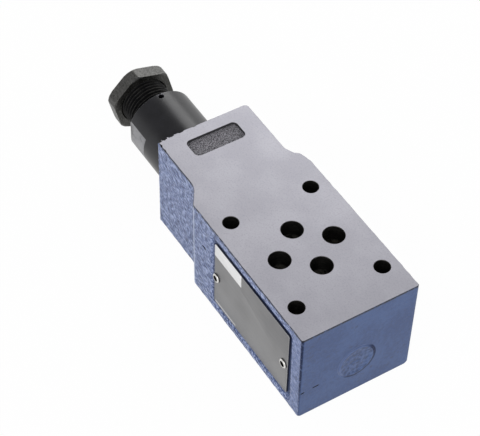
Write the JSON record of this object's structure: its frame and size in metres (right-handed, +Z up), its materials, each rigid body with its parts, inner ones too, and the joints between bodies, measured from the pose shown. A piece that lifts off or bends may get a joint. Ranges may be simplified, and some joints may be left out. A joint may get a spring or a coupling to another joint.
{
  "type": "hydraulic sandwich valve",
  "caption": "Hydraulic sandwich plate pressure reducing valve: painted cast block with ports and bolt holes, name plate recess, adjusting sleeve, threaded spindle and lock nut.",
  "frame": {"origin": "centre of the port pattern on the bottom mounting face", "axes": "+Z up through the plate from bottom to top mounting face, +X towards the closed end face, adjusting spindle at -X, name plate on the -Y side"},
  "size_m": [0.144, 0.0444, 0.04],
  "materials": {
    "painted_iron": "blue paint on cast iron, ground top and bottom faces",
    "blackened_steel": "satin black",
    "burnished_steel": "dark burnished",
    "bright_steel": "ground",
    "spring_steel": "plain wire",
    "plate_metal": "matt",
    "rivet_steel": "bright",
    "seal_rubber": "matt"
  },
  "bodies": {
    "housing": {"housing": "painted_iron", "adjusting_sleeve": "blackened_steel", "sleeve_seal": "seal_rubber", "bore_plug": "painted_iron", "plug_seal": "seal_rubber", "port_seal_p": "seal_rubber", "port_seal_t": "seal_rubber", "port_seal_a": "seal_rubber", "port_seal_b": "seal_rubber", "name_plate": "plate_metal", "plate_rivet_rear": "rivet_steel", "plate_rivet_front": "rivet_steel", "main_spring": "spring_steel"},
    "spring_carrier": {"spindle_seat": "bright_steel"},
    "spindle": {"adjusting_spindle": "burnished_steel", "spindle_seal": "seal_rubber", "stop_ring": "spring_steel"},
    "nut": {"lock_nut": "burnished_steel"},
    "spool": {"control_spool": "bright_steel", "damping_nozzle": "bright_steel", "spool_seat": "bright_steel"}
  },
  "joints": [
    {"name": "spindle_travel", "type": "slide", "parent": "housing", "child": "spring_carrier", "axis": [1, 0, 0], "range_m": [0, 0.005], "deforming": ["main_spring"]},
    {"name": "spindle_turn", "type": "hinge", "parent": "spring_carrier", "child": "spindle", "pos_m": [-0.085, 0, 0.0156], "axis": [1, 0, 0], "range_deg": [0, 1200]},
    {"name": "lock_nut_turn", "type": "hinge", "parent": "spindle", "child": "nut", "pos_m": [-0.1089, 0, 0.0156], "axis": [1, 0, 0], "range_deg": [-90, 90]},
    {"name": "spool_travel", "type": "slide", "parent": "housing", "child": "spool", "axis": [-1, 0, 0], "range_m": [0, 0.004], "stiffness_N_per_m": 20000, "deforming": ["main_spring"]}
  ],
  "couplings": [
    {"joint": "spindle_turn", "follows": "spindle_travel", "rad_per_m": 4188.8}
  ]
}
